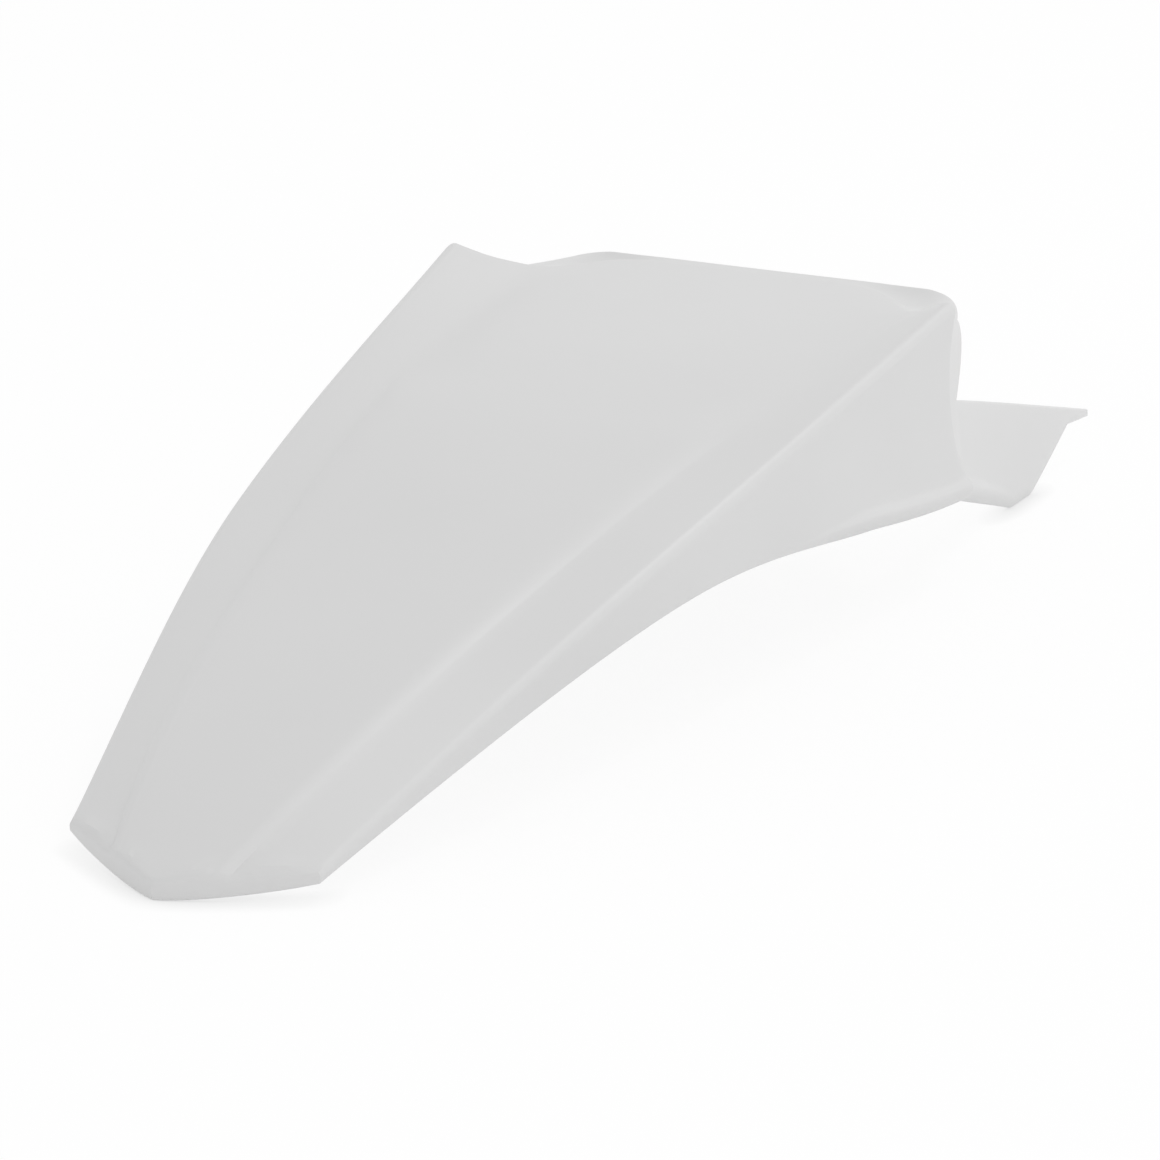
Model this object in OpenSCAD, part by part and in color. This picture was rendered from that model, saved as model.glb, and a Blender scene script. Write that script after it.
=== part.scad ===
// Rear fender of an off-road motorcycle, one injection moulding.
// It lies as on a table: +X runs from the tail to the front, +Y to the left and +Z up.
// It stands on the tail's apex and on the feet of the two side tabs.

/* [Overall] */
// Length from the tail's apex to the tips of the side tabs
overall_l = 660; // [630:1:720]
// Wall thickness of the moulding
wall = 2.6; // [2:0.1:3.4]
// Inside radius of the outer crease and of the tail edge
crease_inside_r = 1.2; // [0.8:0.1:3]

/* [Outer crease] */
// Width across the tail's corners
tail_w = 104; // [88:1:116]
// How far the tail's corners lie ahead of its apex
tail_sweep = 26; // [20:0.1:34]
// Height of the tail's upper edge at its corners
tail_corner_z = 10.8; // [9.5:0.1:14]
// Distance of the middle station from the apex
mid_x = 200; // [180:1:220]
// Width across the outer crease at the middle station
mid_w = 184; // [174:0.1:194]
// Height of the outer crease at the middle station
mid_z = 76; // [68:0.5:80]
// Distance of the wing corners from the apex
wing_x = 422.5; // [408:0.5:432]
// Width across the wing corners
wing_w = 242.4; // [230:0.1:254]
// Height of the wing corners
wing_z = 133.6; // [127:0.1:140]

/* [Tail] */
// Height of the tail's upper edge at the apex
apex_z = 7.2; // [6.5:0.1:11]
// Height of the tail's lower edge at its corners
tail_lower_z = 6.2; // [4:0.1:6.6]
// Width of the raised middle at the tail's edge
ridge_tail_w = 48; // [40:1:58]

/* [Seat bed] */
// Height of the centre line at the middle station
bed_mid_z = 82; // [80.5:0.1:86]
// Distance of the front line from the apex
front_x = 480.7; // [470:0.1:490]
// Height of the centre line at the front line
front_z = 118.6; // [114:0.1:122]
// Width of the straight part of the front line
front_straight_w = 104; // [80:1:130]
// Width across the ridges at the middle station
ridge_mid_w = 126.4; // [116:0.2:138]
// Height of the ridges at the middle station
ridge_mid_z = 77.9; // [76.5:0.1:80]
// Distance of the ridges' front ends from the apex
ridge_front_x = 447; // [436:0.5:458]
// Width across the ridges at their front ends
ridge_front_w = 174; // [164:1:184]
// Height of the ridges at their front ends
ridge_front_z = 116.6; // [114:0.1:121]
// Width of the raised middle's shoulder at the tail
shoulder_tail_w = 4.4; // [3.5:0.1:7]
// Width of the raised middle's shoulder where it starts to fade out
shoulder_front_w = 15; // [11:0.5:20]
// Height of the raised middle over the bands at the tail
raise_tail = 2.8; // [1.5:0.1:3.5]
// Height of the raised middle over the bands where it starts to fade out
raise_front = 3.2; // [1.5:0.1:4]
// Distance from the apex at which the raised middle starts to fade out
raise_x = 280; // [260:1:300]
// Half length of the fold's rounding ahead of the raised middle
fold_round = 7; // [4:0.5:12]

/* [Side skirts] */
// How far the skirts lean inwards, in degrees
skirt_lean = 4; // [1:0.5:7]
// Distance of the lower edge's highest point from the apex
arch_x = 253; // [235:1:275]
// Height of the lower edge at its highest point
arch_z = 56; // [48:0.1:60]
// How far the skirt's lower front corner lies ahead of the wing corner
skirt_sweep = 38; // [28:1:46]
// Height of the skirt's lower front corner
skirt_front_z = 33.4; // [31:0.1:40]
// Depth of the hollow across the side panel
panel_hollow = 1.6; // [0:0.1:3]
// Height of the flared lower edge at the front
bead_h = 14.5; // [12:0.5:18]
// How far the lower edge flares out
bead_flare = 2.6; // [1:0.1:4]
// How far the lower edge turns under, in degrees
bead_turn = 80; // [60:1:90]
// Distance from the apex at which the flare begins
bead_start_x = 296; // [280:1:320]

/* [Front flange] */
// Depth of the step from the skin down to the flange
step_d = 3; // [2:0.1:4]
// How far the flange stands forward of the front line
flange_l = 18.3; // [14:0.1:24]
// Width of the straight part of the flange's front edge
flange_straight_w = 156; // [140:1:166]
// Distance from the wing corner forward to the flange's shoulder
shoulder_x = 51.5; // [44:0.5:58]
// Distance from the wing corner inwards to the flange's shoulder
shoulder_y = 19.6; // [15:0.1:23]
// Distance from the wing corner down to the flange's shoulder
shoulder_z = 23.3; // [19:0.1:27]
// Depth of the hollow in each corner of the flange
corner_hollow = 2.5; // [0:0.1:4]

/* [Side tabs] */
// Width over the outside faces of the two tabs at their roots
tab_root_w = 222; // [218:0.5:228]
// Width over the outside faces of the two tabs at their feet
tab_w = 194; // [184:1:206]
// Height of the tab's upper edge where it leaves the flange
tab_root_z = 78.4; // [72:0.1:84]
// Slope of the tab's upper edge, in degrees
tab_slope = 15.4; // [14.5:0.1:16.5]
// Distance of the foot's front corner from the apex
foot_x = 584; // [570:1:596]
// Length of the foot that touches the table
foot_l = 20; // [12:1:26]
// Radius of the rounding at both ends of the foot
foot_r = 12; // [6:1:18]
// Rise of the tab's front edge, in degrees
tab_front_angle = 26.6; // [24:0.2:28]
// Length of the finger at the tip
finger_l = 28; // [20:1:34]
// Height of the finger's blunt end
finger_h = 3.6; // [3:0.1:6]

/* [Fixings] */
// Distance of the bolt pattern's centre from the apex
bolt_x = 420; // [412:1:424]
// Distance between the fixing holes along the fender
bolt_pitch_x = 70; // [60:1:76]
// Distance between the fixing holes across the fender
bolt_pitch_y = 80; // [70:1:90]
// Diameter of the holes for the threaded inserts
insert_d = 8; // [6.5:0.1:9]
// Depth of the holes for the threaded inserts
insert_l = 14; // [10:0.5:16]
// Diameter of the bosses
boss_d = 17; // [15:0.5:20]
// Height of the face of the bosses above the table
boss_face_z = 88; // [84:0.5:91]
// Thickness of the ribs between the bosses
rib_t = 2; // [1.6:0.1:2.6]
// How far the ribs stay back from the face of the bosses
rib_setback = 5; // [3:0.5:8]
// How far the long ribs reach back from the bolt pattern's centre
rib_back = 80; // [60:1:100]

/* [Hidden] */
plastic_grey = [0.84, 0.84, 0.84];

// Slopes of the lines at their stations: across for widths, up for heights
crease_splay = [0.23, 0.17, 0.12];
crease_pitch = [0.395, 0.276, 0.27];
ridge_splay = [0.33, 0.175, 0.02];
ridge_pitch = [0.57, 0.28, 0.06];
bed_pitch = [0.6, 0.29, 0.03];
arch_pitch = [0.3, 0, -0.036];

// Number of rows along the skin, of rows on the flange and of points down a skirt
rows = 30;
flange_rows = 5;
all_rows = rows + flange_rows;
bed_cols = [0, 0.17, 0.34, 0.5, 0.65, 0.79, 0.9];
round_cols = 4;
band_cols = 2;
half_cols = len(bed_cols) + round_cols + band_cols;
round_pts = 3;
wall_pts = 4;
bead_pts = 6;
drop_pts = round_pts + wall_pts + bead_pts;

crease_r = crease_inside_r + wall;
// The tail's edge is a curve of this power in plan, and its lower edge in height
tail_plan_power = 1.2;
tail_low_power = 1.6;
ridge_tail_x = tail_edge_x(ridge_tail_w / 2);
// Length over which the raised middle fades out, and what is left of its height at the tail's edge
raise_fade = 60;
tail_raise = 0.8 * raise_tail;
// The step runs forward by this much as it goes down, and by more where the edge is rolled under
step_run = 1.2;
bead_turn_run = 3;
// The bed's section is a parabola at the back and flat with turned-up sides at the front
bed_power = [2, 5];
bed_power_x = [mid_x + 50, wing_x];

function mix(a, b, t) = a + (b - a) * t;
function clip(t) = min(1, max(0, t));
function ease(t) = let (c = clip(t)) c * c * (3 - 2 * c);
function unit(v) = v / norm(v);
function bezier2(a, b, c, t) = mix(mix(a, b, t), mix(b, c, t), t);
function bezier3(a, b, c, d, t) = mix(bezier2(a, b, c, t), bezier2(b, c, d, t), t);

// Point on a circular arc of radius r that rounds corner o between unit directions a and b
function arc_leg(a, b, r) = let (half = acos(a * b) / 2) r / tan(half);
function arc_point(o, a, b, r, t) =
    let (
        full = acos(a * b),
        mid = o + unit(a + b) * r / sin(full / 2),
        u = unit(o + arc_leg(a, b, r) * a - mid),
        v = unit(o + arc_leg(a, b, r) * b - mid),
        turn = 180 - full
    )
    mid + r * (sin(turn * (1 - t)) * u + sin(turn * t) * v) / sin(turn);

// Cubic between two stations [distance, value, slope]
function cubic(x, a, b) =
    let (l = b[0] - a[0], t = (x - a[0]) / l, s = 1 - t)
    a[1] * (1 + 2 * t) * s * s + b[1] * t * t * (3 - 2 * t) + l * (a[2] * t * s * s - b[2] * t * t * s);

// Smooth line through three stations, level beyond its ends
function line3(x, at, values, slopes) =
    let (
        p = [for (i = [0:2]) [at[i], values[i], slopes[i]]],
        xc = min(max(x, at[0]), at[2])
    )
    xc < at[1] ? cubic(xc, p[0], p[1]) : cubic(xc, p[1], p[2]);

crease_at = [tail_sweep, mid_x, wing_x];
ridge_at = [ridge_tail_x, mid_x, ridge_front_x];
function crease_y(x) = line3(x, crease_at, [tail_w, mid_w, wing_w] / 2, crease_splay);
function crease_z(x) = line3(x, crease_at, [tail_corner_z, mid_z, wing_z], crease_pitch);
function tail_edge_x(y) = tail_sweep * pow(y / (tail_w / 2), tail_plan_power);
function tail_top_z(y) = mix(apex_z, tail_corner_z, y / (tail_w / 2));
function tail_low_z(y) = tail_lower_z * pow(y / (tail_w / 2), tail_low_power);
function ridge_y(x) = line3(x, ridge_at, [ridge_tail_w, ridge_mid_w, ridge_front_w] / 2, ridge_splay);
function ridge_z(x) =
    line3(x, ridge_at, [tail_top_z(ridge_tail_w / 2), ridge_mid_z, ridge_front_z], ridge_pitch);
function centre_z(x) = line3(x, [0, mid_x, front_x], [apex_z, bed_mid_z, front_z], bed_pitch);
function lower_z(x) =
    line3(x, [tail_sweep, arch_x, wing_x + skirt_sweep], [tail_lower_z, arch_z, skirt_front_z], arch_pitch);

// How much of the raised middle there is at x, the width of its shoulder and its height
function raised(x) = 1 - ease((x - raise_x) / raise_fade);
function shoulder_w(x) = mix(shoulder_tail_w, shoulder_front_w, (x - ridge_tail_x) / (raise_x - ridge_tail_x));
function raise_h(x) =
    raised(x) * mix(raise_tail, raise_front, clip((x - ridge_tail_x) / (raise_x - ridge_tail_x)));
// Edge of the seat bed, as [y, z]
function bed_edge(x) = [ridge_y(x) - raised(x) * shoulder_w(x), ridge_z(x) + raise_h(x)];

// Height of the seat bed at any place between its edges
function bed_z(x, y) =
    let (
        n = mix(bed_power[0], bed_power[1], ease((x - bed_power_x[0]) / (bed_power_x[1] - bed_power_x[0]))),
        e = bed_edge(x),
        s = min(1, abs(y) / e[0])
    )
    centre_z(x) + (e[1] - centre_z(x)) * pow(s, n);

// Direction down a skirt, as [y, z]
skirt_down = unit([-tan(skirt_lean), -1]);
// Half of the section at x, as [y, z] for column c: bed, shoulder or fold, then band
function section(x, c) =
    let (
        g = raised(x),
        k = [ridge_y(x), ridge_z(x)],
        o = [crease_y(x), crease_z(x)],
        out = unit(o - k),
        d = (1 - g) * min(fold_round, norm(o - k) * 0.45),
        bed_end = bed_edge(x)[0] - d,
        round_start = [bed_end, bed_z(x, bed_end)],
        bed_slope = (round_start[1] - bed_z(x, bed_end - 1)),
        half_w = shoulder_w(x) * 0.5,
        round_mid = mix(k, round_start + half_w * [1, bed_slope], g),
        round_end = k + d * out,
        band_end = o - arc_leg(-out, skirt_down, crease_r) * out,
        nb = len(bed_cols)
    )
    c < nb ? let (y = bed_cols[c] * bed_end) [y, bed_z(x, y)]
    : c <= nb + round_cols ? bezier2(round_start, round_mid, round_end, (c - nb) / round_cols)
    : mix(round_end, band_end, (c - nb - round_cols) / band_cols);

// Where the skin begins and ends for each column
function front_line_x(y) =
    let (a = front_straight_w / 2)
    front_x - (front_x - wing_x) * ease((y - a) / (wing_w / 2 - a));
function col_start(c) = tail_edge_x(section(tail_edge_x(tail_w / 2 * c / half_cols), c)[0]);
function col_end(c) = front_line_x(section(wing_x, c)[0]);
col_from = [for (c = [0:half_cols]) col_start(c)];
col_to = [for (c = [0:half_cols]) col_end(c)];

// The skin starts this far ahead of the tail's edge, where the edge's rounding ends
tail_setback = crease_r * 0.55;

// Point of the skin at row i and signed column j
function top_point(i, j) =
    let (
        c = abs(j),
        x = mix(col_from[c] + tail_setback, col_to[c], i / rows),
        p = section(x, c)
    )
    [x, sign(j) * p[0], p[1]];

// Place on the outer crease or tail edge above each point of the skirt
function side_crease(i, s) =
    let (x = i == 0 ? tail_sweep : mix(col_from[half_cols] + tail_setback, col_to[half_cols], i / rows))
    [x, s * crease_y(x), crease_z(x)];
function tail_crease(j) =
    let (
        c = abs(j),
        y = c == 0 ? 0 : section(col_from[c], c)[0],
        past = clip((c - len(bed_cols)) / round_cols),
        inside = min(1, y / bed_edge(ridge_tail_x)[0])
    )
    [tail_edge_x(y), sign(j) * y, tail_top_z(y) + tail_raise * inside * (1 - past * past)];

// How far the flare of the lower edge has grown at x
function flare(x) = ease((x - bead_start_x) / 70);

// Profile of a lower edge of height h, from its top down: [outwards, up from the edge]
function edge_profile(p, h, flared, turned) =
    let (
        low = h * 0.62,
        turn = max(turned, 0.5),
        at = turn * (p - 2) / (bead_pts - 3)
    )
    p < 2 ? [flared * ease(p / 2), mix(h, low, p / 2)]
    : [flared - low / sin(turn) * (1 - cos(at)), low * (1 - sin(at) / sin(turn))];

// One chain of points from the skin over the crease o down to the lower edge
function drop_chain(top, o, low_z, s, grown, sweep) =
    let (
        h = o[2] - low_z,
        down = unit([0, -s * tan(skirt_lean), -1]),
        back = unit(top - o),
        r = min(crease_r, h * 0.55 * tan(acos(back * down) / 2)),
        leg = arc_leg(back, down, r),
        edge_h = mix(min(h * 0.35, 5), bead_h, grown)
    )
    [for (w = [1:drop_pts])
        w <= round_pts ? arc_point(o, back, down, r, w / round_pts)
        : let (
            on_wall = w <= round_pts + wall_pts,
            b = on_wall ? [0, 0]
                : edge_profile(w - round_pts - wall_pts - 1, edge_h, bead_flare * grown, bead_turn * grown),
            fall = on_wall ? mix(-leg * down[2], h - edge_h, (w - round_pts) / (wall_pts + 1)) : h - b[1],
            f = fall / h,
            hollow = panel_hollow * grown * sin(180 * clip(f / 0.85))
        )
        o + [sweep * f * f, s * (b[0] - hollow - fall * tan(skirt_lean)), -fall]
    ];

function side_chain(i, s) =
    let (
        o = side_crease(i, s),
        ahead = skirt_sweep * ease((i / rows - 0.45) / 0.55) * (i / rows)
    )
    drop_chain(top_point(i, s * half_cols), o, lower_z(o[0] + ahead), s, flare(o[0]), ahead);
function tail_chain(j) =
    let (o = tail_crease(j))
    drop_chain(top_point(0, j), o, tail_low_z(abs(o[1])), 0, 0, 0);

skin_main = [for (i = [0:rows]) [for (j = [-half_cols:half_cols]) top_point(i, j)]];
side_main = [for (s = [-1, 1]) [for (i = [0:rows]) side_chain(i, s)]];

// Side tabs: upper edge, lower edge with its foot, then the finger
tab_root = [wing_x + shoulder_x - 14, tab_root_z];
panel_foot = [wing_x + skirt_sweep, skirt_front_z];
// The tab's full section starts this far ahead of the side panel's lower front corner
tab_root_reach = 24;
tab_low_root_x = panel_foot[0] + tab_root_reach;
foot_back_x = foot_x - foot_l;
finger_x = overall_l - finger_l;
// Rise of a line of slope m at distance d beyond a rounded start
function risen(d, m) =
    let (l = foot_r * m)
    d <= 0 ? 0 : d < l ? m * d * d / (2 * l) : m * (d - l / 2);
// Slope that takes the rounded line through a rise at a distance
function slope_to(d, rise) = let (a = foot_r / 2) (d - sqrt(d * d - 4 * a * rise)) / (2 * a);
tab_back_slope = slope_to(foot_back_x - panel_foot[0], skirt_front_z);
finger_low = [risen(finger_x - foot_x, tan(tab_front_angle)), tab_top_z(overall_l) - finger_h];
function tab_top_z(x) = tab_root[1] - (x - tab_root[0]) * tan(tab_slope);
function tab_low_z(x) =
    x < foot_x ? risen(foot_back_x - x, tab_back_slope)
    : x < finger_x ? risen(x - foot_x, tan(tab_front_angle))
    : mix(finger_low[0], finger_low[1], (x - finger_x) / finger_l);
tab_y_at = [[wing_x + 22, tab_root_w / 2, -0.22], [foot_x, tab_w / 2, 0]];
function tab_y(x) = cubic(min(max(x, tab_y_at[0][0]), foot_x), tab_y_at[0], tab_y_at[1]);
tab_low_at = concat(
    [for (t = [0:0.25:0.75]) mix(tab_low_root_x, foot_back_x - foot_r * tab_back_slope, t)],
    [for (t = [1, 0.5, 0]) foot_back_x - foot_r * tab_back_slope * t],
    [for (t = [0, 0.5, 1]) foot_x + foot_r * tan(tab_front_angle) * t],
    [for (t = [0.4, 0.8]) mix(foot_x + foot_r * tan(tab_front_angle), finger_x, t)],
    [finger_x - 1, finger_x + 2, mix(finger_x, overall_l, 0.5), overall_l - 1, overall_l]
);
tab_rows = len(tab_low_at) - 1;
// The tab takes on the lower part of each side panel, from this point of its chain
tab_col = round_pts + wall_pts - 1;

// Point w of the tab's section at station t
function tab_point(t, w) =
    let (
        xb = tab_low_at[t],
        xt = xb + (tab_root[0] - tab_low_root_x) * pow(1 - t / tab_rows, 2),
        zt = tab_top_z(xt),
        zb = tab_low_z(xb),
        h = zt - zb,
        fading = 1 - ease((xb - tab_low_root_x) / (finger_x - 12 - tab_low_root_x)),
        edge_h = min(bead_h * mix(0.5, 1, fading), h * 0.4),
        above = wall_pts - (tab_col - round_pts) + 1,
        b = edge_profile(w - tab_col - above, edge_h, bead_flare * pow(fading, 3), bead_turn * fading),
        on_web = w < tab_col + above,
        z = on_web ? mix(zt, zb + edge_h, (w - tab_col) / above) : zb + b[1],
        x = mix(xt, xb, (zt - z) / h)
    )
    [x, tab_y(x) + (on_web ? 0 : b[0]), z];

// Flange round the front: foot of the step, then the outline
tip_x = front_x + flange_l;
flange_z = front_z - step_d;
shoulder = [wing_x + shoulder_x, wing_w / 2 - shoulder_y, wing_z - shoulder_z];
// Columns of the skin that stay on the straight front, and those before the corner
straight_cols = 4;
corner_col = 6;
corner_n = half_cols - corner_col + round_pts + 1;
outline_n = half_cols - straight_cols + round_pts;
// Points of the front line and of the side panel's front edge on the left, in one list
front_line = concat([for (c = [0:half_cols]) top_point(rows, c)], side_main[1][rows]);
step_a = front_line[corner_col] + [step_run, 0, -step_d];
step_b = front_line[half_cols + round_pts + 1] + [step_run, -step_d, 0];
step_v = [mix(step_a[0], step_b[0], 0.6), step_b[1], step_a[2] + 4];
function step_foot(m) =
    m <= corner_col ? front_line[m] + [step_run, 0, -step_d]
    : m - corner_col < corner_n ? bezier2(step_a, step_v, step_b, (m - corner_col) / corner_n)
    : let (rolled = ease((m - half_cols - tab_col) / 2))
        front_line[m] + [mix(step_run, bead_turn_run, rolled), -step_d * (1 - rolled), 0];
outline_a = [tip_x, flange_straight_w / 2, flange_z];
tab_root_3d = [tab_root[0], tab_y(tab_root[0]), tab_root[1]];
function outline_point(m) =
    let (k = m - straight_cols)
    k < 0 ? [tip_x, front_line[m][1] / front_line[straight_cols][1] * outline_a[1], flange_z]
    : k < outline_n
    ? bezier3(outline_a, outline_a + [0, 12, -1], shoulder + [14, -5, 2], shoulder, k / outline_n)
    : m <= half_cols + tab_col
    ? bezier2(shoulder, shoulder + [1, 4, -6.5], tab_root_3d, (k - outline_n) / (half_cols + tab_col - straight_cols - outline_n))
    : tab_point(0, m - half_cols);
function flange_point(m, r) =
    let (
        t = (r - 1) / (flange_rows - 1),
        p = mix(step_foot(m), outline_point(m), t),
        bump = ease((p[1] - 48) / 22) * ease((94 - p[1]) / 14) * sin(180 * t),
        dip = m <= half_cols ? corner_hollow * bump : 0
    )
    p - [0, 0, dip];
function mirrored(p, s) = [p[0], s * p[1], p[2]];

// Skin, row by row; each row runs from the right edge to the left one
skin = concat(skin_main, [for (r = [1:flange_rows])
    [for (j = [-half_cols:half_cols]) mirrored(flange_point(abs(j), r), j < 0 ? -1 : 1)]]);
// Side chains by row; rows beyond the flange hold only the tab's part
function side_at(s, i) =
    i <= rows ? side_main[s < 0 ? 0 : 1][i]
    : i <= all_rows ? [for (w = [1:drop_pts]) mirrored(flange_point(half_cols + w, i - rows), s)]
    : [for (w = [tab_col:drop_pts]) mirrored(tab_point(i - all_rows, w), s)];

// Chains in order round the rim: right tab and side to the tail, then the left side and tab
last_col = 2 * half_cols;
last_row = all_rows + tab_rows;
rim = concat(
    [for (i = [last_row:-1:0]) [i, 0]],
    [for (j = [1:last_col - 1]) [0, j]],
    [for (i = [0:last_row]) [i, last_col]]
);
rim_n = len(rim);
function is_tab(k) = rim[k][0] > all_rows;
chains = [for (k = [0:rim_n - 1])
    let (i = rim[k][0], j = rim[k][1])
    j == 0 ? side_at(-1, i) : j == last_col ? side_at(1, i) : tail_chain(j - half_cols)];

// Point w of chain k; -1 is the skin's point just inside the rim
function rim_point(k, w) =
    let (i = rim[k][0], j = rim[k][1])
    w > 0 ? chains[k][is_tab(k) ? w - tab_col : w - 1]
    : w == 0 ? skin[i][j]
    : skin[j == 0 || j == last_col ? i : 1][j == 0 ? 1 : j == last_col ? last_col - 1 : j];
function is_there(k, w) = k >= 0 && k < rim_n && w <= drop_pts && (!is_tab(k) || w >= tab_col);
function or_own(k, w, own) = is_there(k, w) ? rim_point(k, w) : own;
// Outward normals by differences between neighbours; on a crease's arc they turn evenly
function rim_normal(k, w) =
    let (p = rim_point(k, w))
    rim[k][0] <= rows && w > 0 && w <= round_pts
    ? unit(mix(rim_normal(k, 0), rim_normal(k, round_pts + 1), w / round_pts))
    : unit(cross(or_own(k, w - 1, p) - or_own(k, w + 1, p), or_own(k + 1, w, p) - or_own(k - 1, w, p)));
function skin_normal(i, j) =
    j == 0 ? rim_normal(last_row - i, 0)
    : j == last_col ? rim_normal(last_row + last_col + i, 0)
    : i == 0 ? rim_normal(last_row + j, 0)
    : unit(cross(skin[min(i + 1, all_rows)][j] - skin[i - 1][j], skin[i][j + 1] - skin[i][j - 1]));

// Both sides of the wall as one list of points: outer skin and chains, then inner ones
function chain_ws(k) = [(is_tab(k) ? tab_col : 1):drop_pts];
outer_points = concat(
    [for (i = [0:all_rows]) for (j = [0:last_col]) skin[i][j]],
    [for (k = [0:rim_n - 1]) for (w = chain_ws(k)) rim_point(k, w)]
);
inner_points = concat(
    [for (i = [0:all_rows]) for (j = [0:last_col]) skin[i][j] - wall * skin_normal(i, j)],
    [for (k = [0:rim_n - 1]) for (w = chain_ws(k)) rim_point(k, w) - wall * rim_normal(k, w)]
);
side_n = len(outer_points);
tab_n = drop_pts - tab_col + 1;
function skin_id(i, j) = i * (last_col + 1) + j;
chains_from = skin_id(all_rows + 1, 0);
left_from = chains_from + tab_rows * tab_n + (rim_n - 2 * tab_rows) * drop_pts;
function rim_id(k, w) =
    w == 0 ? skin_id(rim[k][0], rim[k][1])
    : !is_tab(k) ? chains_from + tab_rows * tab_n + (k - tab_rows) * drop_pts + w - 1
    : (k < tab_rows ? chains_from + k * tab_n : left_from + (k - rim_n + tab_rows) * tab_n) + w - tab_col;
function two(a, b, c, d) = [[a, b, c], [a, c, d]];

outer_faces = concat(
    [for (i = [0:all_rows - 1]) for (j = [0:last_col - 1])
        each two(skin_id(i, j), skin_id(i, j + 1), skin_id(i + 1, j + 1), skin_id(i + 1, j))],
    [for (k = [0:rim_n - 2]) for (w = [is_tab(k) || is_tab(k + 1) ? tab_col : 0:drop_pts - 1])
        each two(rim_id(k, w), rim_id(k, w + 1), rim_id(k + 1, w + 1), rim_id(k + 1, w))]
);
// The open rim: lower edge, left tab's end and top, flange, right tab's top and end
border = concat(
    [for (k = [0:rim_n - 1]) rim_id(k, drop_pts)],
    [for (w = [drop_pts - 1:-1:tab_col]) rim_id(rim_n - 1, w)],
    [for (k = [rim_n - 2:-1:rim_n - 1 - tab_rows]) rim_id(k, tab_col)],
    [for (w = [tab_col - 1:-1:0]) rim_id(rim_n - 1 - tab_rows, w)],
    [for (j = [last_col - 1:-1:1]) skin_id(all_rows, j)],
    [for (w = [0:tab_col]) rim_id(tab_rows, w)],
    [for (k = [tab_rows - 1:-1:0]) rim_id(k, tab_col)],
    [for (w = [tab_col + 1:drop_pts - 1]) rim_id(0, w)]
);
border_n = len(border);
shell_faces = concat(
    outer_faces,
    [for (f = outer_faces) [f[2] + side_n, f[1] + side_n, f[0] + side_n]],
    [for (b = [0:border_n - 1])
        let (p = border[b], q = border[(b + 1) % border_n])
        each two(p, p + side_n, q + side_n, q)]
);

module shell() {
    polyhedron(points = concat(outer_points, inner_points), faces = shell_faces, convexity = 10);
}

// Fixings under the bed: round bosses with blind bores, joined by ribs that follow the skin
bolt_at = [for (i = [-1, 1]) for (j = [-1, 1]) [bolt_x + i * bolt_pitch_x / 2, j * bolt_pitch_y / 2]];
rib_low_z = boss_face_z + rib_setback;
function mid_wall_z(x, y) = bed_z(x, y) - wall / 2;

// Upright blade of thickness t between plan points a and b; its ends rise by the given amounts
module blade(a, b, t, low_a, low_b) {
    n = 8;
    side = t / 2 * unit([a[1] - b[1], b[0] - a[0]]);
    points = [for (i = [0:n]) let (p = mix(a, b, i / n)) for (q = [[-1, 0], [1, 0], [1, 1], [-1, 1]])
        let (x = p[0] + q[0] * side[0], y = p[1] + q[0] * side[1])
        [x, y, q[1] == 1 ? mid_wall_z(x, y) : mix(low_a, low_b, i / n)]];
    faces = concat(
        [[0, 1, 2, 3], [for (q = [3:-1:0]) 4 * n + q]],
        [for (i = [0:n - 1]) for (q = [0:3])
            each two(4 * i + q, 4 * i + 4 + q, 4 * i + 4 + (q + 1) % 4, 4 * i + (q + 1) % 4)]
    );
    polyhedron(points = points, faces = faces, convexity = 4);
}

// Round boss that ends inside the wall, on the plane that touches the wall's middle at p
module boss(p) {
    middle = mid_wall_z(p[0], p[1]);
    slope = [mid_wall_z(p[0] + 1, p[1]) - middle, mid_wall_z(p[0], p[1] + 1) - middle];
    corners = boss_d * [[-1, -1], [1, -1], [1, 1], [-1, 1]];
    intersection() {
        translate([p[0], p[1], boss_face_z])
            cylinder(d = boss_d, h = middle, $fn = 48);
        polyhedron(
            points = concat(
                [for (q = corners) concat(p + q, boss_face_z - 1)],
                [for (q = corners) concat(p + q, middle + slope * q)]
            ),
            faces = [[0, 1, 2, 3], [7, 6, 5, 4], [4, 5, 1, 0], [5, 6, 2, 1], [6, 7, 3, 2], [7, 4, 0, 3]],
            convexity = 2
        );
    }
}

module rear_fender() {
    color(plastic_grey) {
        difference() {
            union() {
                shell();
                for (p = bolt_at)
                    boss(p);
                for (i = [-1, 1]) {
                    blade([bolt_x + i * bolt_pitch_x / 2, -bolt_pitch_y / 2],
                        [bolt_x + i * bolt_pitch_x / 2, bolt_pitch_y / 2], rib_t, rib_low_z, rib_low_z);
                    blade([bolt_x - rib_back, i * bolt_pitch_y / 2],
                        [bolt_x + bolt_pitch_x / 2, i * bolt_pitch_y / 2], rib_t, rib_low_z + 8, rib_low_z);
                }
            }
            for (p = bolt_at)
                translate([p[0], p[1], boss_face_z - 1])
                    cylinder(d = insert_d, h = insert_l + 1, $fn = 48);
        }
    }
}

translate([-overall_l / 2, 0, 0])
        rear_fender();
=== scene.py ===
"""Rear fender of an off-road motorcycle, one pale grey moulding on a white studio floor.

The moulding is one sheet: the seat bed, the raised side creases, the skirts, the tail's
lip, the stepped flange round the front and the two side tabs. The sheet is laid out as a
grid, thickened to the wall and rounded along its open edges. The bosses and ribs below
the bed are separate forms that run into the wall.

Lengths in the classes are in millimetres, measured forward from the tail's apex, out from
the centre plane and up from the floor. They become metres when a mesh is written.
"""

import logging
import math
from dataclasses import dataclass, field
from enum import Enum

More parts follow.
